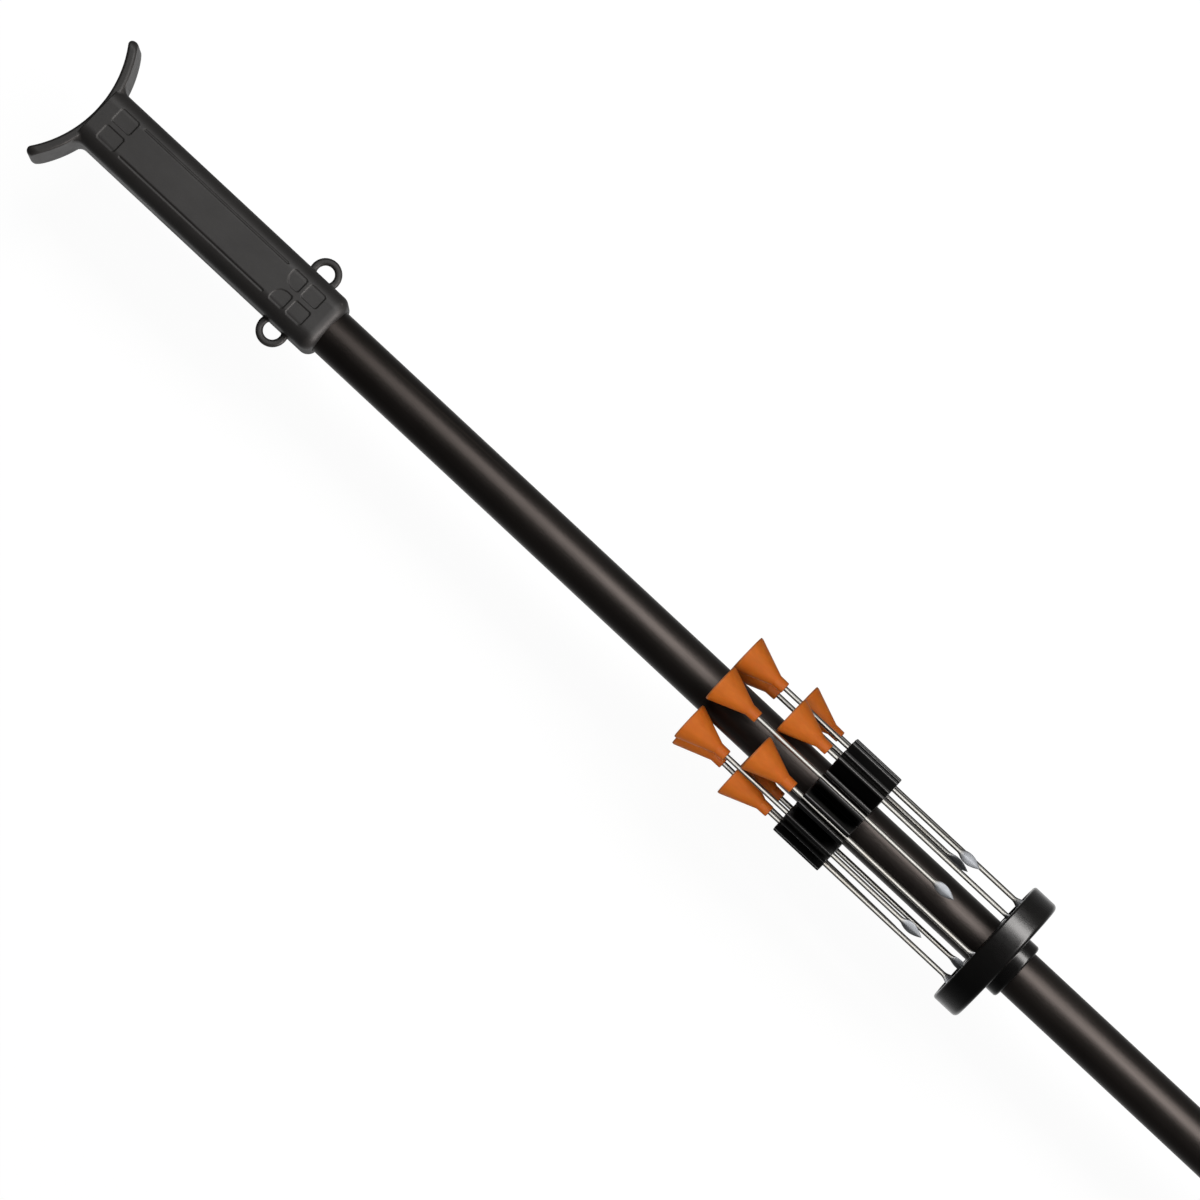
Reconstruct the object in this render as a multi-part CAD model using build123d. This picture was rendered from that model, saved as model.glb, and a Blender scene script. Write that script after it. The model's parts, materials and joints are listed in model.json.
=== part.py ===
from build123d import *
import math
import os

# Large-bore blowpipe with a one-piece handle and mouth shield, a clip-on dart holder,
# a dart guard, a muzzle ring and twelve darts.
#
# Frame: millimetres.  Origin at the centre of the barrel's breech end, on the bore axis.
# +X runs along the bore towards the muzzle, +Z is the outward normal of the handle's
# upper flat, +Y completes the right-handed set.  The mouth shield is at negative X.
# In the comments front is +X and rear is -X.

# ---------------------------------------------------------------- shared dimensions
# barrel: drawn aluminium tube, 3/4 in outside, 5/8 in bore, 36 in long
barrel_od = 19.05
barrel_bore = 15.875
barrel_len = 914.4
slide_bore = barrel_od + 0.10   # running fit of the dart holder and the guard

shaft_d = 2.0             # dart shaft
dart_ring_r = 19.4        # radius of the circle that the shafts lie on
slot_count = 12           # slots in the dart holder, one for each dart
slot_pitch = 360.0 / slot_count
slot_phase = -5.5         # angle of the first slot from +Z towards -Y
holder_x0 = 363.1         # rear face of the dart holder
holder_len = 22.5

over = 1.0                # how far a cutting tool runs past the face it cuts


# ---------------------------------------------------------------- helpers
def save(node, shape):
    shape.label = node
    export_step(shape, "parts/" + node + ".step")


def x_cylinder(radius, x0, x1):
    """Solid cylinder on the bore axis from x0 to x1."""
    return Pos(x0, 0, 0) * (Rot(0, 90, 0) * Cylinder(
        radius, x1 - x0, align=(Align.CENTER, Align.CENTER, Align.MIN)))


def spin_x(points):
    """Solid of revolution about the bore axis from (x, radius) corners."""
    with BuildSketch(Plane.XY) as section:
        with BuildLine():
            Polyline(*points, close=True)
        make_face()
    return revolve(section.sketch, Axis.X, 360)


# ---------------------------------------------------------------- barrel
def make_barrel():
    return (x_cylinder(barrel_od / 2, 0, barrel_len)
            - x_cylinder(barrel_bore / 2, -over, barrel_len + over))


# ---------------------------------------------------------------- handle
# grip, mouth shield and lanyard loops are one moulding
mouth_x = -4.3            # centre of the shield's concave face
grip_x0 = mouth_x + 1.2   # the grip starts inside the shield
grip_x1 = 115.9           # rounded front end
grip_side = 25.0          # across the flats
grip_half = grip_side / 2
grip_corner_r = 6.7       # corner radius of the square section
grip_end_r = 4.2          # rounding of the front end
barrel_seat = barrel_od + 0.05
mouth_bore = 16.2         # opening through the lip behind the barrel
lip_chamfer = 1.0         # 45 degree chamfer of that opening at the mouth

shield_r = 45.4           # radius of the concave face
shield_t = 3.7            # thickness
shield_half_w = 29.4      # half of the width across the arms
shield_half_h = 10.7      # half of the height
shield_corner_r = 4.0     # corners of the arms, seen along the bore
shield_side_gap = 0.4     # the clipping outline is this much wider at each arm
shield_clip_x0 = mouth_x - 20
shield_clip_len = 26

block_depth = 0.35        # recessed blocks near both ends of the two flats
block_h = 6.4             # size of a block across the grip
block_y = 4.2             # centres of the two rows of blocks
block_r = 1.0             # corners
rear_block_len = 9.0
rear_block_x = 7.5
mid_block_len = 7.0
mid_block_x = 94.9
mid_block_r = 4.4         # its large corner, at the rear next to the middle line
front_block_len = 7.6
front_block_x = 103.8

groove_depth = 0.40       # fine grooves, one on each side of each flat
groove_w = 0.7
groove_y = 7.0
groove_x0 = 14.5
groove_x1 = 88.5

loop_x = 99.6             # centres of the two lanyard loops
loop_y = 14.4
loop_od = 12.7
loop_id = 7.1
loop_t = 2.9              # height along Z


def block_pattern():
    """Outlines of the six blocks of one flat."""
    # a square minus a circle leaves the waste outside the large corner
    corner_waste = (
        Pos((mid_block_r - mid_block_len) / 2, (mid_block_r - block_h) / 2)
        * Rectangle(mid_block_r, mid_block_r)
        - Pos(mid_block_r - mid_block_len / 2, mid_block_r - block_h / 2)
        * Circle(mid_block_r))
    mid_block = RectangleRounded(mid_block_len, block_h, block_r) - corner_waste
    pattern = []
    for side in (1, -1):
        for block_x, block_len in ((rear_block_x, rear_block_len),
                                   (front_block_x, front_block_len)):
            pattern.append(Pos(block_x, side * block_y)
                           * RectangleRounded(block_len, block_h, block_r))
        block = mid_block if side == 1 else mirror(mid_block, about=Plane.XZ)
        pattern.append(Pos(mid_block_x, side * block_y) * block)
    return pattern


def make_grip():
    """Rounded square bar with a rounded front end, blocks and grooves."""
    with BuildPart() as bar:
        with BuildSketch(Plane.YZ.offset(grip_x0)):
            RectangleRounded(grip_side, grip_side, grip_corner_r)
        extrude(amount=grip_x1 - grip_x0)
        fillet(bar.faces().sort_by(Axis.X)[-1].edges(), grip_end_r)
    grip = bar.part

    pattern = block_pattern()
    groove = Box(groove_x1 - groove_x0, groove_w, 2 * groove_depth)
    for flat_z in (grip_half, -grip_half):
        for block in pattern:
            grip = grip - extrude(Pos(0, 0, flat_z - block_depth) * block,
                                  amount=2 * block_depth, dir=(0, 0, 1))
        for side in (1, -1):
            grip = grip - Pos((groove_x0 + groove_x1) / 2, side * groove_y, flat_z) * groove
    return grip


def make_shield():
    """Arc of even thickness with round ends, clipped to a rounded rectangle along X."""
    centre_x = mouth_x - shield_r
    outer_r = shield_r + shield_t
    mid_r = shield_r + shield_t / 2
    half_angle = math.degrees(math.asin((shield_half_w - shield_t / 2) / mid_r))
    with BuildPart() as crescent:
        with BuildSketch(Plane.XY.offset(-shield_half_h)):
            with BuildLine():
                CenterArc((centre_x, 0), shield_r, -half_angle, 2 * half_angle)
                CenterArc((centre_x, 0), outer_r, -half_angle, 2 * half_angle)
                for side in (1, -1):
                    angle = math.radians(side * half_angle)
                    ends = [(centre_x + radius * math.cos(angle), radius * math.sin(angle))
                            for radius in (shield_r, outer_r)]
                    tip = (centre_x + mid_r * math.cos(angle)
                           - side * math.sin(angle) * shield_t / 2,
                           mid_r * math.sin(angle) + side * math.cos(angle) * shield_t / 2)
                    ThreePointArc(ends[0], tip, ends[1])
            make_face()
        extrude(amount=2 * shield_half_h)
    with BuildPart() as clip:
        with BuildSketch(Plane.YZ.offset(shield_clip_x0)):
            RectangleRounded(2 * (shield_half_w + shield_side_gap), 2 * shield_half_h,
                             shield_corner_r)
        extrude(amount=shield_clip_len)
    return crescent.part & clip.part


def make_handle():
    handle = make_grip() + make_shield()
    for side in (1, -1):
        handle = handle + Pos(loop_x, side * loop_y, 0) * Cylinder(loop_od / 2, loop_t)
    # each loop's hole stops at the side of the grip
    outside_w = 20
    for side in (1, -1):
        hole = Pos(loop_x, side * loop_y, 0) * Cylinder(loop_id / 2, loop_t + 2 * over)
        outside = (Pos(loop_x, side * (grip_half + outside_w / 2), 0)
                   * Box(30, outside_w, 30))
        handle = handle - (hole & outside)

    # seat for the barrel, mouth opening and its chamfer
    handle = handle - x_cylinder(barrel_seat / 2, 0, grip_x1 + over)
    handle = handle - x_cylinder(mouth_bore / 2, mouth_x - 15 * over, over)
    flare_x0 = mouth_x - 3 * over
    flare_x1 = mouth_x + lip_chamfer
    return handle - spin_x([
        (flare_x0, 0), (flare_x0, mouth_bore / 2 + lip_chamfer + 3 * over),
        (flare_x1, mouth_bore / 2), (flare_x1, 0)])


# ---------------------------------------------------------------- dart holder
holder_core_r = 12.6
prong_root_r = 9.0        # the prongs start inside the core
holder_r = 23.0           # radius over the prongs
lobe_w = 6.0              # width of one pair of prongs
slot_w = shaft_d + 0.12   # gap between the prongs
slot_floor_r = dart_ring_r - shaft_d / 2 - 0.45   # leaves play under the shafts
prong_tip_r = 0.8


def make_holder():
    """Slotted ring: one profile across the bore, a core with pairs of prongs."""
    lobe = (Pos(0, (prong_root_r + holder_r) / 2)
            * Rectangle(lobe_w, holder_r - prong_root_r))
    lobe = fillet(lobe.vertices().group_by(Axis.Y)[-1], prong_tip_r)

    floor_centre_r = slot_floor_r + slot_w / 2
    slot_top_r = holder_r + 3 * over
    slot = (Pos(0, (floor_centre_r + slot_top_r) / 2)
            * Rectangle(slot_w, slot_top_r - floor_centre_r)
            + Pos(0, floor_centre_r) * Circle(slot_w / 2))

    profile = Circle(holder_core_r)
    for k in range(slot_count):
        profile = profile + Rot(0, 0, slot_phase + k * slot_pitch) * lobe
    for k in range(slot_count):
        profile = profile - Rot(0, 0, slot_phase + k * slot_pitch) * slot
    profile = profile - Circle(slide_bore / 2)
    return extrude(Plane.YZ.offset(holder_x0) * profile, amount=holder_len)


# ---------------------------------------------------------------- dart guard
guard_x0 = 448.3          # open rear end of the cup
guard_cup_len = 11.4
guard_r = 27.75
guard_wall = 2.2
guard_floor_t = 2.0
guard_sleeve_r = 11.7     # sleeve around the barrel inside the cup
guard_hub_r = 12.1
guard_hub_len = 5.5
guard_edge_r = 1.8
hub_edge_r = 1.2


def make_guard():
    """Cup open to the rear, with a short hub in front of its floor."""
    cup_x1 = guard_x0 + guard_cup_len
    floor_x = cup_x1 - guard_floor_t
    hub_x1 = cup_x1 + guard_hub_len
    cup = x_cylinder(guard_r, guard_x0, cup_x1)
    cup = fillet(cup.edges().filter_by(GeomType.CIRCLE), guard_edge_r)
    hub = x_cylinder(guard_hub_r, floor_x, hub_x1)
    hub = fillet(hub.edges().filter_by(GeomType.CIRCLE).sort_by(Axis.X)[-1], hub_edge_r)
    cavity = (x_cylinder(guard_r - guard_wall, guard_x0 - 2 * over, floor_x)
              - x_cylinder(guard_sleeve_r, guard_x0 - 3 * over, cup_x1))
    guard = (cup + hub) - cavity
    return guard - x_cylinder(slide_bore / 2, guard_x0 - 3 * over, hub_x1 + 3 * over)


# ---------------------------------------------------------------- muzzle ring
ring_len = 14.0
ring_lip = 2.0            # thickness of the lip in front of the barrel
ring_r = 12.2
ring_bore = barrel_od + 0.04
ring_lip_bore = 16.4
ring_edge_r = 1.5


def make_muzzle_ring():
    ring_x1 = barrel_len + ring_lip
    ring_x0 = ring_x1 - ring_len
    ring = x_cylinder(ring_r, ring_x0, ring_x1)
    ring = fillet(ring.edges().filter_by(GeomType.CIRCLE), ring_edge_r)
    ring = ring - x_cylinder(ring_bore / 2, ring_x0 - over, barrel_len)
    return ring - x_cylinder(ring_lip_bore / 2, barrel_len - over, ring_x1 + over)


# ---------------------------------------------------------------- darts
# each dart is made on the X axis with the rim plane of its cone at x = 0
dart_len = 117.1
cone_rim_r = 7.82
cone_len = 14.9
cone_wall = 0.75          # at the rim, measured along the radius
neck_r = 2.35
neck_end_r = 2.25
neck_len = 4.3
neck_hole = shaft_d + 0.02
neck_wall = 0.35          # where the hollow of the cone ends
neck_inset = 1.6          # how far the neck's hole reaches back into the cone
shaft_inset = 11.6        # from the rim plane to the rear end of the shaft
leaf_len = 10.4
leaf_w = 4.3
leaf_t = 0.9
rear_row_x = 312.4        # rim plane of the rear row of darts
row_gap = 27.0            # from there to the rim plane of the front row

# One line per dart, in slot order; the rows alternate, starting with the rear one.
# Columns: shift along X, turn of the leaf's face from +Z towards -Y, lean of the cone
# end towards the barrel, how much deeper than usual the shaft sits in its cone.
darts = [
    (0.0, 22.0, 0.0, 0.0),
    (0.0, 40.0, 0.0, 0.0),
    (0.9, 30.0, 0.0, 0.0),
    (-0.7, -15.0, 0.0, 0.0),
    (1.3, 98.0, 1.0, 0.0),
    (-1.4, 42.0, 0.0, 1.8),
    (0.0, 35.0, 0.0, 0.0),
    (0.0, -50.0, 0.0, 0.0),
    (-1.4, 45.0, 0.0, 1.5),
    (-0.4, 20.0, 0.0, 0.0),
    (-0.5, 8.0, 0.0, 0.0),
    (0.0, 60.0, 0.0, 0.0),
]


def make_cone():
    """Hollow cone with a short neck."""
    neck_x0 = cone_len - neck_inset
    neck_x1 = cone_len + neck_len
    return spin_x([
        (0, cone_rim_r), (cone_len, neck_r), (neck_x1, neck_end_r),
        (neck_x1, neck_hole / 2), (neck_x0, neck_hole / 2),
        (neck_x0, neck_r - neck_wall), (0, cone_rim_r - cone_wall),
    ])


def make_shaft():
    """Steel shaft, flattened and ground to a leaf at the front."""
    leaf_x0 = dart_len - leaf_len
    # x, half width of the leaf, from rear to tip
    half_outline = [
        (leaf_x0 - 0.6, 0.55),
        (leaf_x0 + leaf_len * 0.10, 0.95),
        (leaf_x0 + leaf_len * 0.30, leaf_w / 2 - 0.22),
        (leaf_x0 + leaf_len * 0.46, leaf_w / 2),
        (leaf_x0 + leaf_len * 0.62, leaf_w / 2 - 0.30),
        (leaf_x0 + leaf_len * 0.82, 0.80),
        (dart_len, 0.08),
    ]
    other_half = [(x, -y) for x, y in reversed(half_outline)]
    outline = make_face(Polyline(*half_outline, *other_half, close=True))
    leaf = Pos(0, 0, -leaf_t / 2) * extrude(outline, amount=leaf_t)
    # the round shaft tapers out over the first part of the leaf
    straight = x_cylinder(shaft_d / 2, shaft_inset, leaf_x0)
    taper_x1 = leaf_x0 + leaf_len * 0.42
    taper = spin_x([(leaf_x0, 0), (leaf_x0, shaft_d / 2),
                    (taper_x1, leaf_t / 2 - 0.02), (taper_x1, 0)])
    return straight + taper + leaf


def save_darts():
    cone = make_cone()
    shaft = make_shaft()
    holder_mid_x = holder_x0 + holder_len / 2
    for i, (shift, turn, lean, sink) in enumerate(darts):
        angle = slot_phase + i * slot_pitch
        rim_x = rear_row_x + (i % 2) * row_gap + shift
        # lean turns the dart about the middle of the holder, in the plane of the bore axis
        place = (Rot(angle, 0, 0) * Pos(holder_mid_x, 0, dart_ring_r) * Rot(0, -lean, 0)
                 * Pos(rim_x - holder_mid_x, 0, 0))
        name = f"dart_{i + 1:02d}"
        save(name + "_cone", place * cone)
        save(name + "_shaft", place * Pos(-sink, 0, 0) * Rot(turn - angle, 0, 0) * shaft)


# ---------------------------------------------------------------- output
os.makedirs("parts", exist_ok=True)
save("barrel_tube", make_barrel())
save("handle", make_handle())
save("dart_holder", make_holder())
save("dart_guard", make_guard())
save("muzzle_ring", make_muzzle_ring())
save_darts()
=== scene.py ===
"""A blowgun with twelve darts held round its barrel.

The bore is the X axis. The handle and its shield are at the low-x end and the muzzle is at the
high-x end. The handle's flats face +Z and -Z, and the darts point along +X.
Pieces are written in millimetres and scaled by MM; the stage is in metres.
"""
import json
import math
from itertools import combinations, product

import bpy
import numpy as np
from mathutils import Matrix, Vector

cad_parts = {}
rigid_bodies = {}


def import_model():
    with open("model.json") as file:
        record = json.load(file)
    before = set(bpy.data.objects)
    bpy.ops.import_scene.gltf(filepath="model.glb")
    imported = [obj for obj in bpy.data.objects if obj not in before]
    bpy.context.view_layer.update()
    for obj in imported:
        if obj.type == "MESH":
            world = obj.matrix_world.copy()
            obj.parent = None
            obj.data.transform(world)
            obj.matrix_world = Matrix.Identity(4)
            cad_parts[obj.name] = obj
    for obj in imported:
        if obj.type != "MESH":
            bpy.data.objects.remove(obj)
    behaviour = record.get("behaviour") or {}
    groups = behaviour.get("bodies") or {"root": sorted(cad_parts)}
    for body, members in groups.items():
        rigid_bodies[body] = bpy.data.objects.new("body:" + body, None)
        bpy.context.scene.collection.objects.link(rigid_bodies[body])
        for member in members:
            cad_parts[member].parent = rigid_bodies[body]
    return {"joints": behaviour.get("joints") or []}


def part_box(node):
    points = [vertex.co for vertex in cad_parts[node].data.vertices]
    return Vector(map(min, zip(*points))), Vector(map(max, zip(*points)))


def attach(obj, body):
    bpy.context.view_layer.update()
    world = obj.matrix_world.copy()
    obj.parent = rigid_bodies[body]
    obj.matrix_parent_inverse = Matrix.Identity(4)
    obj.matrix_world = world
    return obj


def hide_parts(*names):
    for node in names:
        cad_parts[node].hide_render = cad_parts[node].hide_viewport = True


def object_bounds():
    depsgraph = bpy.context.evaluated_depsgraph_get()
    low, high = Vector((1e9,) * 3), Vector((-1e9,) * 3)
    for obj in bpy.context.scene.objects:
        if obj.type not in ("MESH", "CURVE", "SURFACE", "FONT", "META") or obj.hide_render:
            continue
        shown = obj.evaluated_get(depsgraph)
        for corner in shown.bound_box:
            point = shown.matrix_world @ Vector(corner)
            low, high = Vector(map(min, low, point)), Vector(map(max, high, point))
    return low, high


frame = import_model()
cad_lo, cad_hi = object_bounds()
MM = 0.001


def extent(node):
    """Lowest x, highest x and highest z of a CAD piece, in mm."""
    lo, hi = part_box(node)
    return lo.x / MM, hi.x / MM, hi.z / MM


# Sizes that several pieces share
TUBE_START, TUBE_END, TUBE_RADIUS = extent("barrel_tube")
SOCKET_RADIUS = TUBE_RADIUS + 0.02      # of the holes that take the tube
SLEEVE_BORE = 9.575                     # radius of the hole in the dart holder and the guard
DART_CIRCLE = 19.4                      # radius of the ring of darts

# Each dart: turn of its leaf (degrees), how much deeper its shaft sits in the cone (mm),
# outward lean (degrees)
DARTS = [
    (22, 0.0, 0.0), (40, 0.0, 0.0), (30, 0.0, 0.0), (-15, 0.0, 0.0),
    (98, 0.0, 1.0), (42, 1.8, 0.0), (35, 0.0, 0.0), (-50, 0.0, 0.0),
    (45, 1.5, 0.0), (20, 0.0, 0.0), (8, 0.0, 0.0), (60, 0.0, 0.0),
]
DART_PITCH = 2 * math.pi / len(DARTS)
first_axis = {joint["child"]: joint for joint in frame["joints"]}["dart_01"]["axis"]
FIRST_ANGLE = math.atan2(-first_axis[1], first_axis[2])     # from +Z towards -Y

lo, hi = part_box("dart_holder")
HOLDER_X = (lo.x + hi.x) / 2 / MM
HOLDER_LENGTH = (hi.x - lo.x) / MM

# =====================================================================================
# Meshes
# =====================================================================================


def add_mesh(name, verts, faces, normals=None, attribute=None):
    """Smooth mesh from mm. Without normals, edges over 50 degrees are sharp."""
    mesh = bpy.data.meshes.new(name)
    mesh.from_pydata((np.asarray(verts, float) * MM).tolist(), [], faces)
    mesh.polygons.foreach_set("use_smooth", [True] * len(mesh.polygons))
    if attribute is not None:
        key, values = attribute
        layer = mesh.attributes.new(key, "FLOAT", "POINT")
        layer.data.foreach_set("value", np.asarray(values, np.float32))
    mesh.update()
    if normals is not None:
        mesh.normals_split_custom_set_from_vertices(normals.tolist())
    else:
        mesh.set_sharp_from_angle(angle=math.radians(50))
    ob = bpy.data.objects.new(name, mesh)
    bpy.context.scene.collection.objects.link(ob)
    return ob


def rotated(place, vectors):
    return vectors @ np.array(place.to_3x3()).T


def placed(place, points):
    return rotated(place, points) + np.array(place.translation)


def round_outline(points, corner_steps):
    """Rounds the corners of a closed (x, r, corner radius) outline.

    The outline runs clockwise when x is to the right and r is up.
    Returns positions and outward normals; corner_steps is the count for a right angle."""
    positions, normals = [], []
    corners = [np.array(point[:2], float) for point in points]
    for i, (_, _, radius) in enumerate(points):
        before, here, after = corners[i - 1], corners[i], corners[(i + 1) % len(points)]
        way_in = (here - before) / np.linalg.norm(here - before)
        way_out = (after - here) / np.linalg.norm(after - here)
        normal_in = np.array((-way_in[1], way_in[0]))
        normal_out = np.array((-way_out[1], way_out[0]))
        cross = way_in[0] * way_out[1] - way_in[1] * way_out[0]
        bend = math.atan2(cross, float(way_in @ way_out))
        if abs(bend) < 1e-4 or radius <= 0:
            middle = normal_in + normal_out
            positions.append(here)
            normals.append(middle / np.linalg.norm(middle))
            continue
        cut = radius * abs(math.tan(bend / 2))
        room = 0.49 * min(np.linalg.norm(here - before), np.linalg.norm(after - here))
        if cut > room:
            radius, cut = radius * room / cut, room
        side = -1.0 if cross < 0 else 1.0
        centre = here - way_in * cut + side * normal_in * radius
        steps = max(2, int(math.ceil(corner_steps * abs(bend) / (math.pi / 2))))
        for k in range(steps + 1):
            cos, sin = math.cos(bend * k / steps), math.sin(bend * k / steps)
            normal = np.array((normal_in[0] * cos - normal_in[1] * sin,
                               normal_in[0] * sin + normal_in[1] * cos))
            positions.append(centre - side * normal * radius)
            normals.append(normal)
    return positions, normals


def lathe(name, points, segments, corner_steps, spacing, place=None, attribute=None):
    """Turns a closed outline about the X axis, with extra cuts along runs longer than spacing.

    The named attribute runs from 0 at the lowest x of the outline to 1 at the highest."""
    corner_pos, corner_nor = round_outline(points, corner_steps)
    pos, nor = [], []
    for i in range(len(corner_pos)):
        j = (i + 1) % len(corner_pos)
        pos.append(corner_pos[i])
        nor.append(corner_nor[i])
        cuts = int(np.linalg.norm(corner_pos[j] - corner_pos[i]) // spacing)
        for k in range(1, cuts + 1):
            t = k / (cuts + 1)
            pos.append(corner_pos[i] * (1 - t) + corner_pos[j] * t)
            normal = corner_nor[i] * (1 - t) + corner_nor[j] * t
            nor.append(normal / np.linalg.norm(normal))
    pos, nor = np.array(pos), np.array(nor)
    count = len(pos)
    angle = np.arange(segments) * 2 * math.pi / segments
    cos, sin = np.cos(angle)[:, None], np.sin(angle)[:, None]

    def spun(pairs):
        x = np.broadcast_to(pairs[:, 0], (segments, count))
        return np.stack([x, -pairs[:, 1] * sin, pairs[:, 1] * cos], -1).reshape(-1, 3)

    verts, normals = spun(pos), spun(nor)
    ring = np.arange(segments)[:, None] * count
    next_ring = (np.arange(segments)[:, None] + 1) % segments * count
    a = np.arange(count)[None, :]
    b = (a + 1) % count
    faces = np.stack([ring + a, next_ring + a, next_ring + b, ring + b], -1).reshape(-1, 4)
    if attribute:
        x = pos[:, 0]
        attribute = attribute, np.tile((x - x.min()) / (x.max() - x.min()), segments)
    if place is not None:
        verts, normals = placed(place, verts), rotated(place, normals)
    return add_mesh(name, verts, faces.tolist(), normals, attribute)


def hypot(a, b):
    return np.sqrt(a * a + b * b)


def round_union(a, b, r):
    """Union of two distance fields with a fillet of radius r."""
    return np.maximum(r, np.minimum(a, b)) - hypot(np.maximum(r - a, 0), np.maximum(r - b, 0))


def round_common(a, b, r):
    """Intersection of two distance fields with an edge of radius r."""
    return np.minimum(-r, np.maximum(a, b)) + hypot(np.maximum(r + a, 0), np.maximum(r + b, 0))


def round_rect(a, b, half_a, half_b, r):
    qa, qb = np.abs(a) - half_a + r, np.abs(b) - half_b + r
    return hypot(np.maximum(qa, 0), np.maximum(qb, 0)) + np.minimum(np.maximum(qa, qb), 0) - r


def smooth(start, end, x):
    t = np.clip((x - start) / (end - start), 0, 1)
    return t * t * (3 - 2 * t)


def grid_lines(*runs):
    """Grid lines from (start, end, step) runs."""
    lines = []
    for start, end, step in runs:
        n = max(1, int(round((end - start) / step)))
        lines.extend(start + (end - start) * k / n for k in range(n))
    lines.append(runs[-1][1])
    return np.array(lines)


def surface(name, field, *lines):
    """Closed quad mesh of field = 0, on a grid whose x, y and z lines may be uneven."""
    distance = field(*np.meshgrid(*lines, indexing="ij"))
    inside = distance < 0
    cells = np.array(distance.shape) - 1
    corners = list(product((0, 1), repeat=3))
    total = np.zeros(cells, np.int8)
    for dx, dy, dz in corners:
        total += inside[dx:dx + cells[0], dy:dy + cells[1], dz:dz + cells[2]]
    cell = np.argwhere((total > 0) & (total < 8))
    index = np.full(cells, -1, np.int64)
    index[tuple(cell.T)] = np.arange(len(cell))

    # One vertex per cell, at the mean of the crossings on its edges
    crossings = np.zeros((len(cell), 3))
    hits = np.zeros(len(cell))
    for p, q in combinations(corners, 2):
        if sum(abs(p[k] - q[k]) for k in range(3)) != 1:
            continue
        ip, iq = (cell + p).T, (cell + q).T
        dp, dq = distance[tuple(ip)], distance[tuple(iq)]
        hit = (dp < 0) != (dq < 0)
        t = np.where(hit, dp / np.where(hit, dp - dq, 1), 0)[:, None]
        a = np.stack([line[i] for line, i in zip(lines, ip)], 1)
        b = np.stack([line[i] for line, i in zip(lines, iq)], 1)
        crossings += np.where(hit[:, None], a + (b - a) * t, 0)
        hits += hit
    verts = crossings / hits[:, None]

    def gradient(points, reach):
        slopes = np.empty_like(points)
        for k in range(3):
            shift = np.zeros(3)
            shift[k] = reach
            rise = field(*(points + shift).T) - field(*(points - shift).T)
            slopes[:, k] = rise / (2 * reach)
        return slopes

    # Pull the vertices onto the true surface
    for _ in range(4):
        g = gradient(verts, 0.01)
        step = -field(*verts.T)[:, None] * g / np.maximum((g * g).sum(1), 0.2)[:, None]
        verts = verts + np.clip(step, -0.15, 0.15)
    g = gradient(verts, 0.03)
    normals = g / np.maximum(np.linalg.norm(g, axis=1), 1e-9)[:, None]

    # One quad round every grid edge that crosses the surface
    faces = []
    for axis in range(3):
        edge = np.argwhere(np.diff(inside, axis=axis))
        across = [k for k in range(3) if k != axis]
        edge = edge[((edge[:, across] > 0) & (edge[:, across] < cells[across])).all(1)]
        one, two = np.eye(3, dtype=int)[across]
        quad = np.stack([index[tuple((edge - back).T)] for back in (0 * one, one, one + two, two)],
                        1)
        keep = inside[tuple(edge.T)] ^ (axis == 1)
        quad[~keep] = quad[~keep][:, ::-1]
        faces.append(quad)
    return add_mesh(name, verts, np.concatenate(faces).tolist(), normals)


# =====================================================================================
# Materials
# =====================================================================================


class Nodes:
    """Short calls for building a node tree. Input values may be numbers, colours or sockets."""

    def __init__(self, owner):
        owner.use_nodes = True
        self.tree = owner.node_tree

    def put(self, socket, value):
        if isinstance(value, bpy.types.NodeSocket):
            self.tree.links.new(value, socket)
        elif socket.type == "RGBA":
            socket.default_value = (*value, 1.0)
        else:
            socket.default_value = value

    def add(self, kind, inputs=None, **settings):
        node = self.tree.nodes.new(kind)
        for key, value in settings.items():
            setattr(node, key, value)
        for key, value in (inputs or {}).items():
            self.put(node.inputs[key], value)
        return node

    def math(self, operation, *operands):
        inputs = dict(enumerate(operands))
        return self.add("ShaderNodeMath", inputs, operation=operation).outputs[0]

    def remap(self, value, between, to=(0.0, 1.0), ease=False):
        inputs = {"Value": value, "From Min": between[0], "From Max": between[1],
                  "To Min": to[0], "To Max": to[1]}
        kind = "SMOOTHSTEP" if ease else "LINEAR"
        node = self.add("ShaderNodeMapRange", inputs, interpolation_type=kind)
        return node.outputs["Result"]


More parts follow.
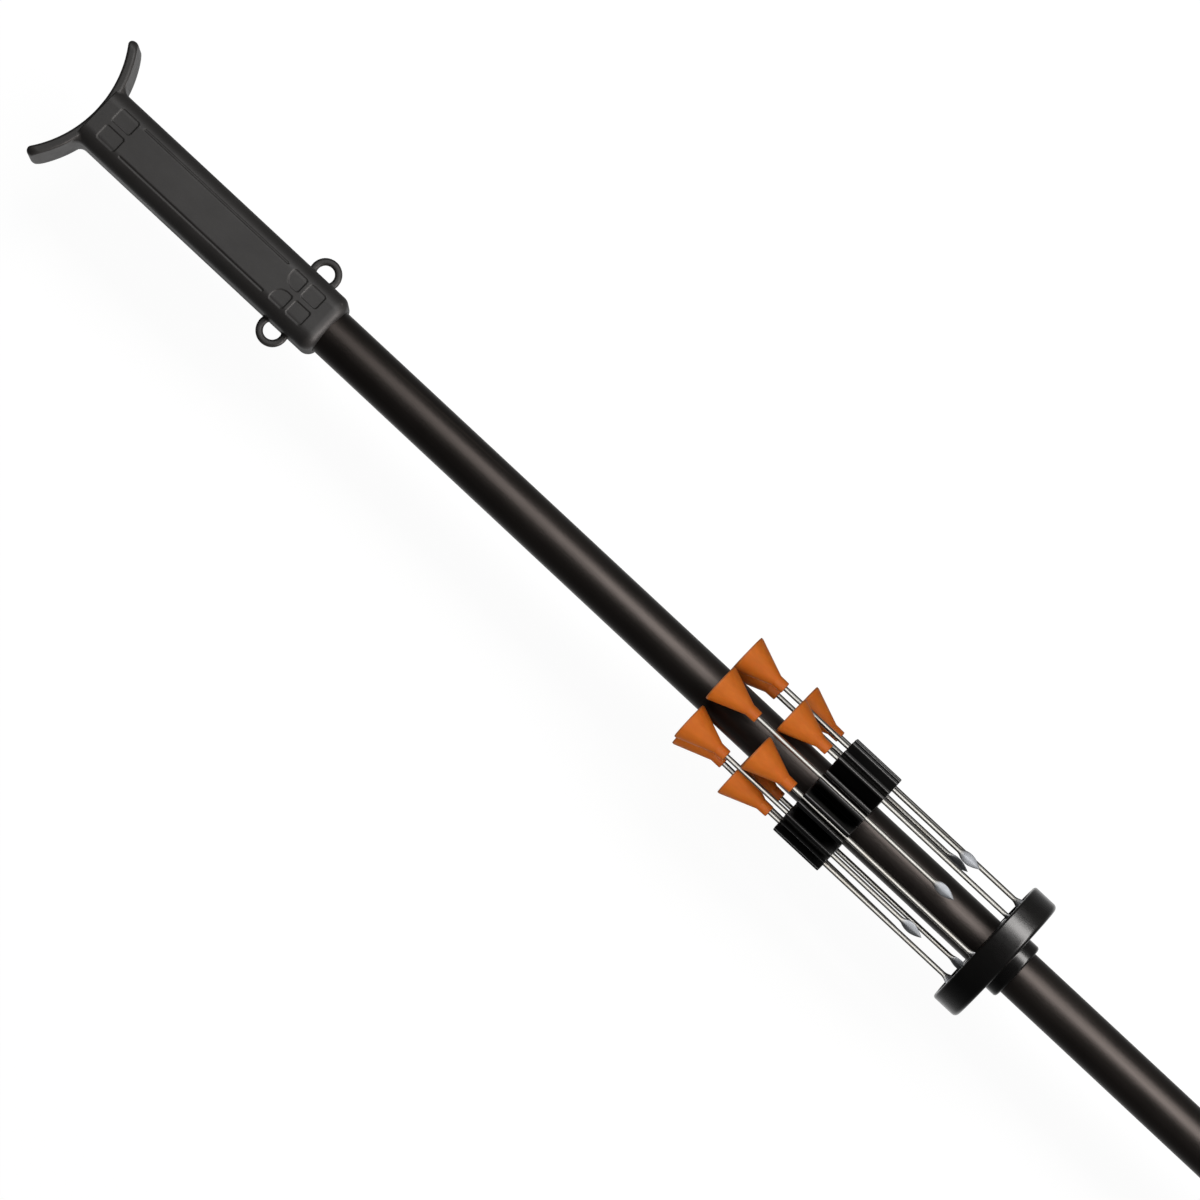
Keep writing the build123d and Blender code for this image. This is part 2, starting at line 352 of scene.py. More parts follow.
class Surface(Nodes):
    """A principled material whose textures are in object space."""

    def __init__(self, name):
        self.material = bpy.data.materials.new(name)
        super().__init__(self.material)
        self.coord = self.add("ShaderNodeTexCoord").outputs["Object"]

    def noise(self, scale=1.0, detail=3.0, rough=0.55, stretch=None, distortion=0.0):
        """Noise; stretch gives a scale for each axis."""
        vector = self.coord
        if stretch:
            mapping = self.add("ShaderNodeMapping", {"Scale": stretch, "Vector": vector})
            vector = mapping.outputs["Vector"]
        inputs = {"Scale": scale, "Detail": detail, "Roughness": rough,
                  "Distortion": distortion, "Vector": vector}
        return self.add("ShaderNodeTexNoise", inputs).outputs["Fac"]

    def attribute(self, name):
        return self.add("ShaderNodeAttribute", attribute_name=name).outputs["Fac"]

    def scaled(self, value, by):
        return self.math("MULTIPLY", value, by)

    def weighted(self, *pairs):
        """Sum of two (value, weight) pairs."""
        return self.math("ADD", *[self.scaled(value, by=weight) for value, weight in pairs])

    def mix(self, amount, base, top):
        inputs = {0: amount, 6: base, 7: top}
        node = self.add("ShaderNodeMix", inputs, data_type="RGBA", blend_type="MIX")
        return node.outputs[2]

    def bump(self, height, strength, distance):
        inputs = {"Strength": strength, "Distance": distance, "Height": height}
        return self.add("ShaderNodeBump", inputs).outputs["Normal"]

    def finish(self, inputs):
        bsdf = next(node for node in self.tree.nodes if node.type == "BSDF_PRINCIPLED")
        for key, value in inputs.items():
            self.put(bsdf.inputs[key], value)
        return self.material


MID = (0.3, 0.7)        # the part of a noise's range that most remaps use


def anodised_tube():
    """Near-black finish with fine streaks and a few faint scratches along the tube."""
    m = Surface("anodised_tube")
    streak = m.noise(detail=3.0, rough=0.6, stretch=(14.0, 900.0, 900.0))
    fine = m.noise(detail=2.0, rough=0.5, stretch=(60.0, 3600.0, 3600.0))
    cloud = m.noise(scale=38.0, detail=4.0, rough=0.6)
    scratch = m.noise(detail=1.0, rough=0.4, stretch=(9.0, 420.0, 420.0), distortion=0.8)
    mark = m.remap(scratch, between=(0.70, 0.735), ease=True)
    color = m.mix(m.remap(cloud, between=MID),
                  base=(0.0022, 0.0019, 0.0017), top=(0.0040, 0.0034, 0.0030))
    color = m.mix(m.scaled(mark, by=0.25), base=color, top=(0.03, 0.026, 0.023))
    rough = m.remap(streak, between=MID, to=(0.375, 0.445))
    rough = m.math("ADD", rough, m.remap(cloud, between=MID, to=(-0.02, 0.03)))
    height = m.weighted((streak, 0.6), (fine, 0.4))
    return m.finish({
        "Base Color": color, "Roughness": rough, "IOR": 1.55,
        "Specular Tint": (1.0, 0.87, 0.81),
        "Normal": m.bump(height, strength=0.12, distance=0.00003)})


def moulded(name, dark, light, edge, rough, grain_mm, grain_strength):
    """Black moulded plastic: grain, dull smudges, and convex edges coloured a little lighter."""
    m = Surface(name)
    cloud = m.noise(scale=55.0, detail=4.0, rough=0.6)
    smear = m.noise(detail=4.0, rough=0.65, stretch=(60.0, 160.0, 160.0))
    grain = m.add("ShaderNodeTexVoronoi", {"Scale": 1000.0 / grain_mm, "Vector": m.coord},
                  feature="SMOOTH_F1").outputs["Distance"]
    grit = m.noise(scale=1400.0 / grain_mm, detail=2.0, rough=0.6)
    pointiness = m.add("ShaderNodeNewGeometry").outputs["Pointiness"]
    # Convex edges, found from pointiness, are mixed towards the lighter edge colour.
    edge_lightening = m.remap(pointiness, between=(0.52, 0.60), ease=True)
    color = m.mix(m.remap(cloud, between=(0.32, 0.68)), base=dark, top=light)
    spot = m.remap(grit, between=(0.35, 0.65))
    color = m.mix(m.scaled(spot, by=0.25), base=color, top=tuple(1.7 * x for x in light))
    color = m.mix(m.scaled(edge_lightening, by=0.55), base=color, top=edge)
    dull = m.remap(smear, between=MID, to=(rough - 0.05, rough + 0.05))
    dull = m.math("ADD", dull, m.scaled(spot, by=0.04))
    height = m.weighted((grain, 0.55), (grit, 0.45))
    return m.finish({
        "Base Color": color, "Roughness": dull, "IOR": 1.5,
        "Normal": m.bump(height, strength=grain_strength, distance=0.00006)})


def ring_rubber():
    m = Surface("ring_rubber")
    cloud = m.noise(scale=90.0, detail=4.0, rough=0.6)
    grit = m.noise(scale=2600.0, detail=3.0, rough=0.65)
    color = m.mix(m.remap(cloud, between=MID),
                  base=(0.012, 0.012, 0.012), top=(0.024, 0.023, 0.022))
    return m.finish({
        "Base Color": color, "Roughness": m.remap(cloud, between=MID, to=(0.62, 0.74)),
        "IOR": 1.5, "Normal": m.bump(grit, strength=0.35, distance=0.00008)})


def cone_plastic():
    """Orange plastic: flow streaks, a painted shade band at the cut rim, deeper colour at the thick
    neck.
    """
    m = Surface("cone_plastic")
    along = m.attribute("along")
    flow = m.noise(detail=4.0, rough=0.6, stretch=(70.0, 520.0, 520.0))
    cloud = m.noise(scale=240.0, detail=3.0, rough=0.55)
    color = m.mix(m.remap(flow, between=MID),
                  base=(0.52, 0.126, 0.011), top=(0.60, 0.150, 0.015))
    color = m.mix(m.remap(along, between=(0.35, 1.0), to=(0.0, 0.55)),
                  base=color, top=(0.48, 0.102, 0.010))
    # Painted shade: a darker brown band along the rim stands in for the shading on the rim's edge.
    rim_painted_shade = m.remap(along, between=(0.012, 0.045), to=(1.0, 0.0), ease=True)
    color = m.mix(m.scaled(rim_painted_shade, by=0.75), base=color, top=(0.30, 0.105, 0.030))
    color = m.mix(m.scaled(m.remap(cloud, between=(0.35, 0.7)), by=0.16),
                  base=color, top=(0.42, 0.100, 0.012))
    rough = m.remap(flow, between=MID, to=(0.46, 0.56))
    height = m.weighted((flow, 0.6), (m.noise(scale=1900.0, detail=2.0), 0.4))
    return m.finish({
        "Base Color": color, "Roughness": rough, "IOR": 1.45, "Specular IOR Level": 0.22,
        "Subsurface Weight": 0.35, "Subsurface Scale": 0.0020,
        "Subsurface Radius": (1.0, 0.35, 0.08),
        "Normal": m.bump(height, strength=0.15, distance=0.00006)})


def dart_steel():
    """Wire drawn lengthwise; the leaf is darker and ground across."""
    m = Surface("dart_steel")
    leaf = m.attribute("leaf")
    draw = m.noise(detail=3.0, rough=0.6, stretch=(45.0, 5200.0, 5200.0))
    cloud = m.noise(scale=120.0, detail=4.0, rough=0.6)
    ground = m.noise(detail=2.0, rough=0.5, stretch=(5200.0, 700.0, 700.0))
    color = m.mix(m.remap(draw, between=MID),
                  base=(0.23, 0.222, 0.208), top=(0.36, 0.35, 0.325))
    color = m.mix(m.remap(cloud, between=(0.5, 0.75), to=(0.0, 0.5)),
                  base=color, top=(0.24, 0.21, 0.17))
    color = m.mix(m.scaled(leaf, by=0.85), base=color, top=(0.24, 0.25, 0.27))
    rough = m.remap(draw, between=MID, to=(0.26, 0.38))
    rough = m.math("ADD", rough, m.scaled(leaf, by=0.12))
    height = m.weighted((draw, m.math("SUBTRACT", 1.0, leaf)), (ground, leaf))
    return m.finish({
        "Base Color": color, "Metallic": 1.0, "Roughness": rough,
        "Normal": m.bump(height, strength=0.22, distance=0.00004)})


MATERIALS = {
    "anodised_tube": anodised_tube(),
    "handle_plastic": moulded(
        "handle_plastic", dark=(0.0110, 0.0104, 0.0100), light=(0.0175, 0.0166, 0.0160),
        edge=(0.050, 0.046, 0.043), rough=0.50, grain_mm=0.42, grain_strength=0.28),
    "holder_plastic": moulded(
        "holder_plastic", dark=(0.0030, 0.0030, 0.0030), light=(0.0055, 0.0054, 0.0053),
        edge=(0.030, 0.029, 0.028), rough=0.36, grain_mm=0.30, grain_strength=0.20),
    "guard_plastic": moulded(
        "guard_plastic", dark=(0.0024, 0.0023, 0.0022), light=(0.0042, 0.0040, 0.0039),
        edge=(0.024, 0.023, 0.022), rough=0.245, grain_mm=0.35, grain_strength=0.12),
    "ring_rubber": ring_rubber(),
    "cone_plastic": cone_plastic(),
    "dart_steel": dart_steel(),
}


def finish_piece(ob, node, body, slot):
    ob.data.materials.append(MATERIALS[slot])
    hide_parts(node)
    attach(ob, body)


# =====================================================================================
# Barrel tube and muzzle ring. Outlines are rows of (x, r, corner radius).
# =====================================================================================
TUBE_BORE = 7.9375
tube = lathe("barrel_visual", [
    (TUBE_START, TUBE_BORE, 0.3), (TUBE_START, TUBE_RADIUS, 0.35),
    (TUBE_END, TUBE_RADIUS, 0.35), (TUBE_END, TUBE_BORE, 0.3),
], segments=144, corner_steps=4, spacing=12.0)
finish_piece(tube, "barrel_tube", "barrel", "anodised_tube")

GROOVE_PLACES = (0.34, 0.52, 0.70)      # fractions of the ring's length
GROOVE_DEPTH = 0.6
GROOVE_TOP, GROOVE_FLOOR = 0.75, 0.3    # half widths
RING_LIP, RING_HOLE = 2.0, 8.2          # length and radius of the hole past the tube's socket


def muzzle_ring():
    start, end, radius = extent("muzzle_ring")
    outline = [(start, SOCKET_RADIUS, 0.4), (start, radius, 1.5)]
    for place in GROOVE_PLACES:
        x = start + (end - start) * place
        outline += [(x - GROOVE_TOP, radius, 0.25), (x - GROOVE_FLOOR, radius - GROOVE_DEPTH, 0.25),
                    (x + GROOVE_FLOOR, radius - GROOVE_DEPTH, 0.25), (x + GROOVE_TOP, radius, 0.25)]
    outline += [(end, radius, 1.8), (end, RING_HOLE, 0.6), (end - RING_LIP, RING_HOLE, 0.15),
                (end - RING_LIP, SOCKET_RADIUS, 0.15)]
    return lathe("muzzle_ring_visual", outline, segments=112, corner_steps=6, spacing=2.5)


finish_piece(muzzle_ring(), "muzzle_ring", "barrel", "ring_rubber")

# =====================================================================================
# Handle: grip, crescent shield and two side loops in one moulding
# =====================================================================================
_, GRIP_END, GRIP_HALF = extent("handle")
GRIP_CORNER, GRIP_END_ROUND = 6.7, 4.2
MOUTH = TUBE_START - 4.3                # x of the shield's hollow face on the bore
SHIELD_INNER, SHIELD_THICK = 45.4, 3.7
SHIELD_HALF_WIDTH, SHIELD_HALF_HEIGHT = 29.4, 10.7
SHIELD_MID = SHIELD_INNER + SHIELD_THICK / 2
SHIELD_ANGLE = math.asin((SHIELD_HALF_WIDTH - SHIELD_THICK / 2) / SHIELD_MID)
# Shallow blocks on the flats, mirrored across the bore: (middle x, half length)
END_BLOCKS = [(7.5, 4.5), (103.8, 3.8)]
CUT_BLOCK = (94.9, 3.5)                 # its low-x corners nearest the bore are well rounded
CUT_BLOCK_ROUND = 4.4
BLOCK_Y, BLOCK_HALF_WIDTH, BLOCK_DEPTH = 4.2, 3.2, 0.30
EDGE_GROOVE_X, EDGE_GROOVE_HALF, EDGE_GROOVE_Y = 51.5, 36.65, 7.0
EDGE_GROOVE_RADIUS, EDGE_GROOVE_DEPTH = 0.35, 0.25
LOOP_X, LOOP_Y, LOOP_RADIUS, LOOP_HALF_WIDTH, LOOP_HALF_HEIGHT = 99.6, 14.4, 4.95, 1.4, 1.45
MOUTH_HOLE = 8.1


def flat_relief(x, side):
    """Depth of the blocks and grooves in the flats; side is the distance from y = 0."""
    def block_at(middle, half):
        return round_rect(x - middle, side - BLOCK_Y, half, BLOCK_HALF_WIDTH, 1.0)

    blocks = np.minimum(*[block_at(*block) for block in END_BLOCKS])
    middle, half = CUT_BLOCK
    corner_x = middle - half + CUT_BLOCK_ROUND
    corner_y = BLOCK_Y - BLOCK_HALF_WIDTH + CUT_BLOCK_ROUND
    rounding = np.where((x < corner_x) & (side < corner_y),
                        hypot(x - corner_x, side - corner_y) - CUT_BLOCK_ROUND, -1.0)
    blocks = np.minimum(blocks, np.maximum(block_at(middle, half), rounding))
    past_end = np.maximum(np.abs(x - EDGE_GROOVE_X) - EDGE_GROOVE_HALF, 0)
    groove = hypot(past_end, side - EDGE_GROOVE_Y) - EDGE_GROOVE_RADIUS
    return (BLOCK_DEPTH * smooth(0.25, -0.30, blocks)
            + EDGE_GROOVE_DEPTH * smooth(0.22, -0.24, groove))


def handle_field(x, y, z):
    side, height = np.abs(y), np.abs(z)
    on_flat = smooth(GRIP_HALF - 3.1, GRIP_HALF - 1.3, height)
    grip = round_rect(y, z, GRIP_HALF, GRIP_HALF, GRIP_CORNER) + flat_relief(x, side) * on_flat
    grip = round_common(grip, x - GRIP_END, GRIP_END_ROUND)
    grip = np.maximum(grip, (MOUTH + 1.2) - x)
    # Shield: an arc with round ends, clipped in height
    from_centre = x - (MOUTH - SHIELD_INNER)
    ends = hypot(from_centre - SHIELD_MID * math.cos(SHIELD_ANGLE),
                 side - SHIELD_MID * math.sin(SHIELD_ANGLE))
    arc = np.where(np.arctan2(side, from_centre) < SHIELD_ANGLE,
                   np.abs(hypot(from_centre, y) - SHIELD_MID), ends) - SHIELD_THICK / 2
    clip = round_rect(y, z, SHIELD_HALF_WIDTH + 0.4, SHIELD_HALF_HEIGHT, 4.0)
    shield = round_common(arc, clip, 1.1)
    fillet = 0.35 + 2.6 * smooth(SHIELD_HALF_HEIGHT, SHIELD_HALF_HEIGHT - 2.6, height)
    solid = round_union(grip, shield, fillet)
    loop = np.abs(hypot(x - LOOP_X, side - LOOP_Y) - LOOP_RADIUS) - LOOP_HALF_WIDTH
    loop = round_common(loop, height - LOOP_HALF_HEIGHT, 1.15)
    solid = round_union(solid, loop, 0.9)
    # Socket for the tube, and a narrower hole through to the mouth with a softer rim there
    r = hypot(y, z)
    hole = np.minimum(np.maximum(r - SOCKET_RADIUS, -x), np.maximum(r - MOUTH_HOLE, x - 1.0))
    return round_common(solid, -hole, 0.35 + 0.95 * smooth(-1.6, -2.6, x))


handle = surface(
    "handle_visual", handle_field,
    grid_lines((-14.8, 16.4, 0.38), (16.4, 86.8, 1.3), (86.8, 117.0, 0.38)),
    grid_lines((-30.6, -13.8, 0.42), (-13.8, 13.8, 0.34), (13.8, 30.6, 0.42)),
    grid_lines((-13.2, -9.6, 0.30), (-9.6, 9.6, 0.44), (9.6, 13.2, 0.30)))
finish_piece(handle, "handle", "barrel", "handle_plastic")

# =====================================================================================
# Dart holder: core with a pair of prongs for each dart
# =====================================================================================
CORE_RADIUS = 12.6
LOBE_RADIUS, LOBE_HALF_WIDTH, LOBE_HALF_HEIGHT = 16.0, 3.0, 7.0
SLOT_FLOOR, SLOT_HALF = 19.01, 1.06     # centre radius of the slot's round floor, half width


def holder_field(x, y, z):
    r = hypot(y, z)
    angle = np.arctan2(-y, z) - FIRST_ANGLE + DART_PITCH / 2
    angle = np.mod(angle, DART_PITCH) - DART_PITCH / 2
    across, out = r * np.sin(angle), r * np.cos(angle)
    lobe = round_rect(across, out - LOBE_RADIUS, LOBE_HALF_WIDTH, LOBE_HALF_HEIGHT, 0.85)
    solid = round_union(r - CORE_RADIUS, lobe, 0.45)
    slot = np.where(out > SLOT_FLOOR, np.abs(across) - SLOT_HALF,
                    hypot(across, out - SLOT_FLOOR) - SLOT_HALF)
    solid = round_common(solid, -slot, 0.25 + 0.35 * smooth(20.8, 22.4, out))
    solid = round_common(solid, SLEEVE_BORE - r, 0.4)
    return round_common(solid, np.abs(x - HOLDER_X) - HOLDER_LENGTH / 2, 0.45)


half = HOLDER_LENGTH / 2
holder = surface(
    "dart_holder_visual", holder_field,
    grid_lines((HOLDER_X - half - 0.25, HOLDER_X - half + 0.95, 0.15),
               (HOLDER_X - half + 0.95, HOLDER_X + half - 0.95, 1.6),
               (HOLDER_X + half - 0.95, HOLDER_X + half + 0.25, 0.15)),
    grid_lines((-23.5, 23.5, 0.27)), grid_lines((-23.5, 23.5, 0.27)))
finish_piece(holder, "dart_holder", "holder", "holder_plastic")

# =====================================================================================
# Dart guard: a cup open towards low x, with a hub that runs on past its floor
# =====================================================================================
CUP_DEPTH, CUP_FLOOR, CUP_WALL = 11.4, 2.0, 2.2
HUB_IN_CUP, HUB_PAST_CUP = 11.7, 12.1   # outer radii


def dart_guard():
    start, end, radius = extent("dart_guard")
    back = start + CUP_DEPTH
    floor_x, wall = back - CUP_FLOOR, radius - CUP_WALL
    return lathe("dart_guard_visual", [
        (start, SLEEVE_BORE, 0.5), (start, HUB_IN_CUP, 0.7), (floor_x, HUB_IN_CUP, 0.8),
        (floor_x, wall, 1.0), (start, wall, 0.35), (start, radius, 1.8), (back, radius, 1.9),
        (back, HUB_PAST_CUP, 0.8), (end, HUB_PAST_CUP, 1.2), (end, SLEEVE_BORE, 0.5),
    ], segments=160, corner_steps=7, spacing=3.0)


finish_piece(dart_guard(), "dart_guard", "guard", "guard_plastic")

# =====================================================================================
# Darts. In a dart's own frame the cone's rim is at x = 0 and the tip at x = DART_LENGTH.
# =====================================================================================
# (x, r, corner radius)
CONE = [(0.0, 7.10, 0.12), (0.0, 7.82, 0.22), (0.9, 7.80, 0.4), (14.9, 2.40, 0.7),
        (19.2, 2.30, 0.4), (19.2, 1.01, 0.1), (13.3, 1.01, 0.2), (13.3, 2.0, 0.4)]
DART_LENGTH, LEAF_LENGTH = 117.1, 10.4
LEAF_START = DART_LENGTH - LEAF_LENGTH
BUTT_END, BUTT_LENGTH = 12.0, 0.4       # the rounded end of the wire, inside the cone
# (fraction of the leaf's length, half width, half thickness)
LEAF = np.array([
    (-0.30, 1.00, 1.00), (0.0, 0.98, 0.98), (0.10, 1.22, 0.90), (0.20, 1.68, 0.74),
    (0.30, 1.99, 0.60), (0.40, 2.14, 0.52), (0.50, 2.15, 0.47), (0.60, 1.99, 0.44),
    (0.70, 1.67, 0.40), (0.80, 1.24, 0.34), (0.90, 0.70, 0.24), (0.97, 0.24, 0.12),
    (1.0, 0.06, 0.05)]).T
SHAFT_STATIONS = np.concatenate([
    np.linspace(BUTT_END - BUTT_LENGTH, BUTT_END, 4), np.linspace(16.0, LEAF_START - 4.0, 14),
    np.linspace(LEAF_START - 3.0, LEAF_START, 6),
    LEAF_START + LEAF_LENGTH * np.linspace(0.02, 1.0, 40)]).tolist()
SHAFT_SEGMENTS = 32


def shaft_mesh(name, place):
    """Round wire from inside the cone to a lens-shaped leaf, lofted along the shaft."""
    seg = SHAFT_SEGMENTS
    angle = np.arange(seg) * 2 * math.pi / seg
    cos, sin = np.cos(angle), np.sin(angle)
    verts, leafness = [], []
    for x in SHAFT_STATIONS:
        along = (x - LEAF_START) / LEAF_LENGTH
        width, thick = (float(np.interp(along, LEAF[0], column)) for column in LEAF[1:])
        if x < BUTT_END:
            q = (BUTT_END - x) / BUTT_LENGTH
            width = thick = math.sqrt(max(0.0, 1 - 0.75 * q * q))
        flatness = float(smooth(-0.02, 0.30, along))
        power = 2.0 - 0.62 * flatness       # 2 gives an ellipse, less a lens
        k = (np.abs(cos) ** power + np.abs(sin) ** power) ** (-1 / power)
        verts.append(np.stack([np.full(seg, x), width * k * cos, thick * k * sin], 1))
        leafness += [flatness] * seg
    verts.append(np.array([[SHAFT_STATIONS[0] - 0.05, 0, 0], [DART_LENGTH, 0, 0]]))
    leafness += [0.0, 1.0]
    rings = len(SHAFT_STATIONS)
    last, butt, tip = (rings - 1) * seg, rings * seg, rings * seg + 1
    faces = []
    for a in range(0, last, seg):
        b = a + seg
        for k in range(seg):
            k2 = (k + 1) % seg
            faces.append((a + k, a + k2, b + k2, b + k))
    for k in range(seg):
        k2 = (k + 1) % seg
        faces.append((butt, k2, k))
        faces.append((tip, last + k, last + k2))
    return add_mesh(name, placed(place, np.concatenate(verts)), faces,
                    attribute=("leaf", leafness))


def build_dart(i, leaf_turn, sink, lean):
    dart = "dart_%02d" % (i + 1)
    angle = FIRST_ANGLE + i * 2 * math.pi / len(DARTS)
    lean = math.radians(lean)
    front = extent(dart + "_shaft")[1] + sink
    # The shaft's line runs through the middle of the holder at the ring's radius
    place = (Matrix.Rotation(angle, 4, "X") @ Matrix.Translation((HOLDER_X, 0, DART_CIRCLE))
             @ Matrix.Rotation(-lean, 4, "Y")
             @ Matrix.Translation((-(HOLDER_X - front) / math.cos(lean) - DART_LENGTH, 0, 0)))
    cone = lathe(dart + "_cone_visual", CONE, segments=80, corner_steps=5, spacing=1.1,
                 place=place, attribute="along")
    finish_piece(cone, dart + "_cone", dart, "cone_plastic")
    shaft_place = (place @ Matrix.Translation((-sink, 0, 0))
                   @ Matrix.Rotation(math.radians(leaf_turn) - angle, 4, "X"))
    shaft = shaft_mesh(dart + "_shaft_visual", shaft_place)
    finish_piece(shaft, dart + "_shaft", dart, "dart_steel")


for i, row in enumerate(DARTS):
    build_dart(i, *row)

# =====================================================================================
# Stage: pale floor, world, camera and lights, in metres
# =====================================================================================
FLOOR_Z = cad_lo.z - 0.0001
FLOOR_HALF = 30.0
# Glow of the floor towards the object: (cosine from the floor's normal, level); 1 at cosine 1
GLOW_GRAZING = 0.07
GLOW_STEPS = [(0.36, 0.10), (0.76, 0.32), (0.94, 0.90)]
SHADED_X = 0.078                        # middle of the dimmer strip under the grip


def floor_material():
    """White to the camera. To the object it glows, bright straight below and dim further out."""
    material = bpy.data.materials.new("stage_floor")
    n = Nodes(material)
    n.tree.nodes.clear()
    is_camera = n.add("ShaderNodeLightPath").outputs["Is Camera Ray"]
    glow = n.add("ShaderNodeEmission", {"Strength": 0.965})
    white = n.add("ShaderNodeBsdfDiffuse", {"Color": (0.05, 0.05, 0.05)})
    seen = n.add("ShaderNodeAddShader", {0: glow.outputs[0], 1: white.outputs[0]})
    geometry = n.add("ShaderNodeNewGeometry").outputs
    cosine = n.add("ShaderNodeVectorMath", {0: geometry["Incoming"], 1: geometry["Normal"]},
                   operation="DOT_PRODUCT")
    level = n.add("ShaderNodeValToRGB", {"Fac": cosine.outputs["Value"]})
    elements = level.color_ramp.elements
    elements[0].color = (GLOW_GRAZING,) * 3 + (1,)
    elements[1].color = (1, 1, 1, 1)
    for position, grey in GLOW_STEPS:
        elements.new(position).color = (grey, grey, grey, 1)
    # The grip stands close to the floor and shades the strip beneath it
    where = n.add("ShaderNodeSeparateXYZ", {0: geometry["Position"]}).outputs

    def strip(axis, middle, fade):
        """1 near the middle, falling to 0 over the two fade distances."""
        offset = n.math("ABSOLUTE", n.math("SUBTRACT", where[axis], middle))
        return n.remap(offset, between=fade, to=(1.0, 0.0), ease=True)

    shade = n.math("MULTIPLY", strip("X", middle=SHADED_X, fade=(0.036, 0.050)),
                   strip("Y", middle=0.0, fade=(0.014, 0.030)))
    kept = n.remap(shade, between=(0.0, 1.0), to=(1.0, 0.40), ease=True)
    sweep = n.add("ShaderNodeEmission", {"Color": level.outputs["Color"], "Strength": kept})
    mix = n.add("ShaderNodeMixShader", {0: is_camera, 1: sweep.outputs[0], 2: seen.outputs[0]})
    n.add("ShaderNodeOutputMaterial", {"Surface": mix.outputs[0]})
    return material


def add_floor():
    mesh = bpy.data.meshes.new("floor")
    mesh.from_pydata([(x * FLOOR_HALF, y * FLOOR_HALF, FLOOR_Z)
                      for x, y in ((-1, -1), (1, -1), (1, 1), (-1, 1))], [], [(0, 1, 2, 3)])
    floor = bpy.data.objects.new("floor", mesh)
    mesh.materials.append(floor_material())
    bpy.context.scene.collection.objects.link(floor)


def add_world():
    """White to the camera, nearly dark to everything else."""
    world = bpy.data.worlds.new("studio")
    bpy.context.scene.world = world
    n = Nodes(world)
    n.tree.nodes.clear()
    is_camera = n.add("ShaderNodeLightPath").outputs["Is Camera Ray"]
    dim, seen = (n.add("ShaderNodeBackground", {"Color": (1, 1, 1), "Strength": strength})
                 for strength in (0.05, 1.0))
    mix = n.add("ShaderNodeMixShader", {0: is_camera, 1: dim.outputs[0], 2: seen.outputs[0]})
    n.add("ShaderNodeOutputWorld", {"Surface": mix.outputs[0]})


add_floor()
add_world()

# Stage axes, seen from 5 degrees off the handle's flat
TILT = math.radians(5.0)
TO_CAMERA = Vector((0, -math.sin(TILT), math.cos(TILT)))
ACROSS = Vector((0, -math.cos(TILT), -math.sin(TILT)))     # down and left in the picture
BORE = Vector((1, 0, 0))
EYE = BORE * 0.4039 + TO_CAMERA * 2.100
AIM = BORE * 0.25807 + ACROSS * 0.00453
PICTURE_TURN = math.radians(42.931)     # of the bore below the picture's horizontal


def axes_at(origin, x, y, z):
    return Matrix.Translation(origin) @ Matrix((x, y, z)).transposed().to_4x4()


def add_camera():
    data = bpy.data.cameras.new("camera")
    camera = bpy.data.objects.new("camera", data)
    bpy.context.scene.collection.objects.link(camera)
    bpy.context.scene.camera = camera
    forward = (AIM - EYE).normalized()
    right = BORE * math.cos(PICTURE_TURN) - ACROSS * math.sin(PICTURE_TURN)
    right = (right - forward * right.dot(forward)).normalized()
    up = right.cross(forward).normalized()
    camera.matrix_world = axes_at(EYE, right, up, -forward)
    data.sensor_width = 36.0
    data.lens = 169.85
    data.clip_start, data.clip_end = 0.05, 60.0


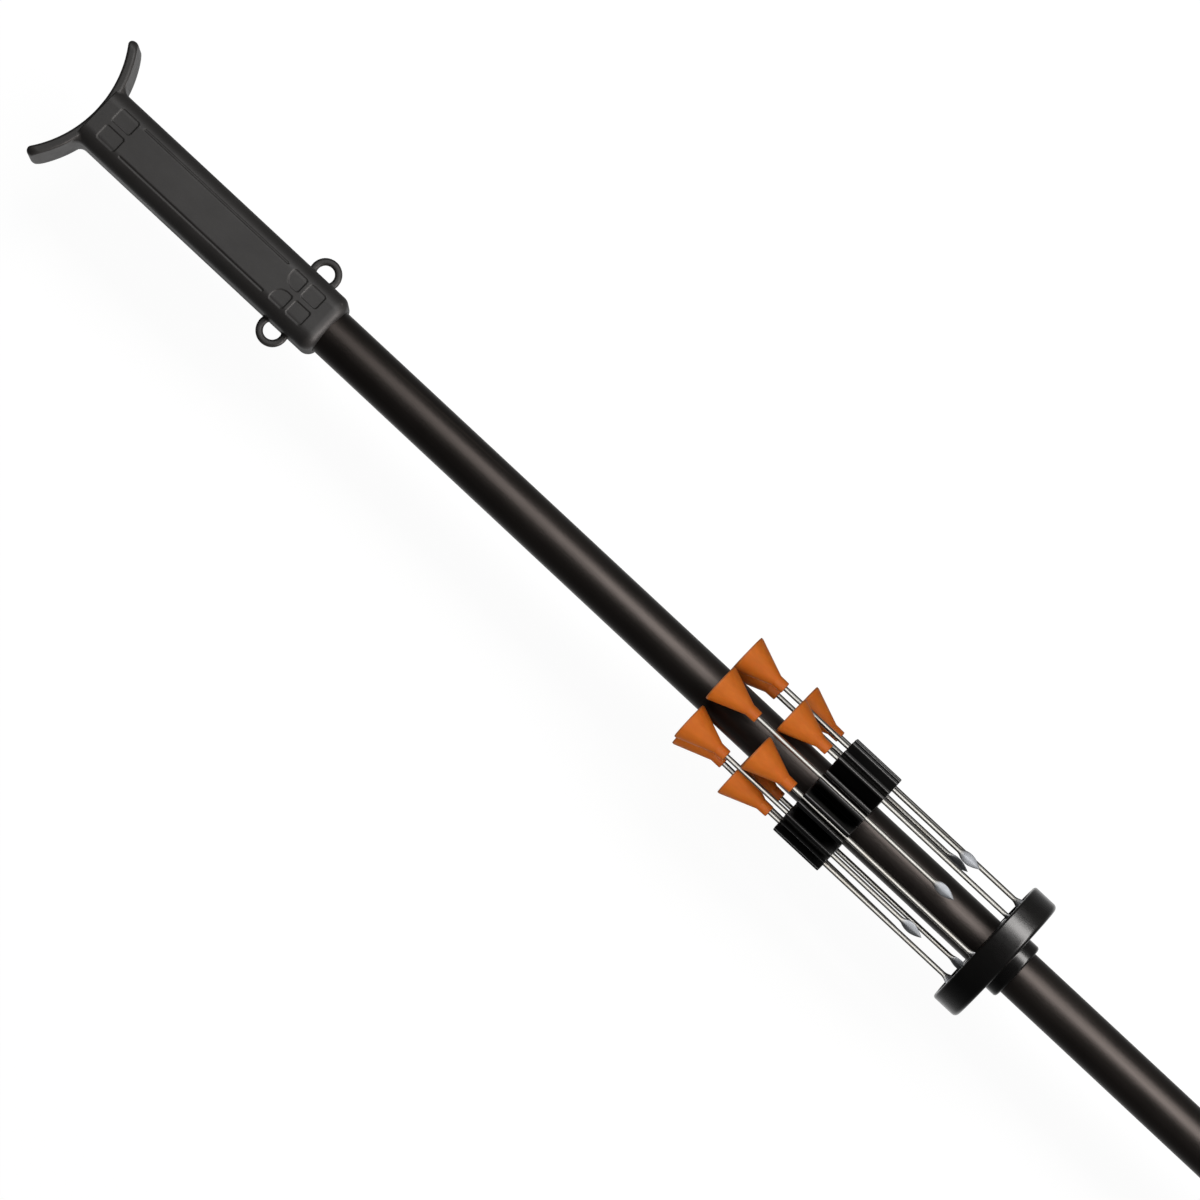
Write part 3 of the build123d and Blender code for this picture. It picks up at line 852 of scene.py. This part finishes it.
def area_light(name, lit, off_view, along_bore, size, power, colour=(1, 1, 1), distance=1.6,
               target_x=0.28):
    """Area light that reaches only the lit pieces.

    It stands off_view degrees from the view axis towards the picture's upper right, and
    along_bore degrees towards the muzzle."""
    data = bpy.data.lights.new(name, "AREA")
    data.shape = "RECTANGLE"
    data.size, data.size_y = size
    data.energy = power
    data.color = colour
    ob = bpy.data.objects.new(name, data)
    bpy.context.scene.collection.objects.link(ob)
    a, b = math.radians(off_view), math.radians(along_bore)
    z = (TO_CAMERA * math.cos(a) - ACROSS * math.sin(a)) * math.cos(b) + BORE * math.sin(b)
    z = z.normalized()
    x = (BORE - z * BORE.dot(z)).normalized()
    ob.matrix_world = axes_at(Vector((target_x, 0, 0)) + z * distance, x, z.cross(x), z)
    ob.visible_camera = False
    receivers = bpy.data.collections.new(name + "_receivers")
    for piece in lit:
        receivers.objects.link(piece)
    ob.light_linking.receiver_collection = receivers


add_camera()

tubes, grips, darts, rest = [], [], [], []
for ob in bpy.data.objects:
    if ob.type != "MESH" or ob.hide_render:
        continue
    if ob.name == "barrel_visual":
        tubes.append(ob)
    elif ob.name == "handle_visual":
        grips.append(ob)
    elif ob.name.startswith("dart_") and ob.name.split("_")[1].isdigit():
        darts.append(ob)
    else:
        rest.append(ob)

WARM = (1.0, 0.975, 0.96)
area_light("key", rest, off_view=52, along_bore=14, size=(2.6, 0.56), power=54, colour=WARM)
area_light("tube_key", tubes, off_view=29, along_bore=14, size=(2.6, 1.05), power=4.5,
           colour=WARM)
# A closer strip that starts beyond the grip, so the tube brightens away from it
area_light("tube_strip", tubes, off_view=27, along_bore=0, size=(1.10, 0.33), power=6.2,
           colour=WARM, distance=0.5, target_x=0.67)
area_light("grip_key", grips, off_view=27, along_bore=16, size=(2.6, 0.9), power=32,
           colour=(1.0, 0.985, 0.975))
# A low light from the muzzle end, for the muzzle side of the shield and the grip's end
area_light("grip_side", grips, off_view=0, along_bore=78, size=(0.7, 0.7), power=24,
           colour=(1.0, 0.93, 0.90), target_x=0.03)
area_light("dart_key", darts, off_view=32, along_bore=14, size=(2.6, 1.4), power=14.5)
area_light("dart_front", darts, off_view=0, along_bore=4, size=(0.8, 0.8), power=9)
area_light("dart_fill", darts, off_view=-28, along_bore=8, size=(2.0, 1.4), power=16,
           distance=1.8)

view = bpy.context.scene.view_settings
view.view_transform = "Standard"
view.look = "None"
view.exposure = 0.0
view.gamma = 1.0
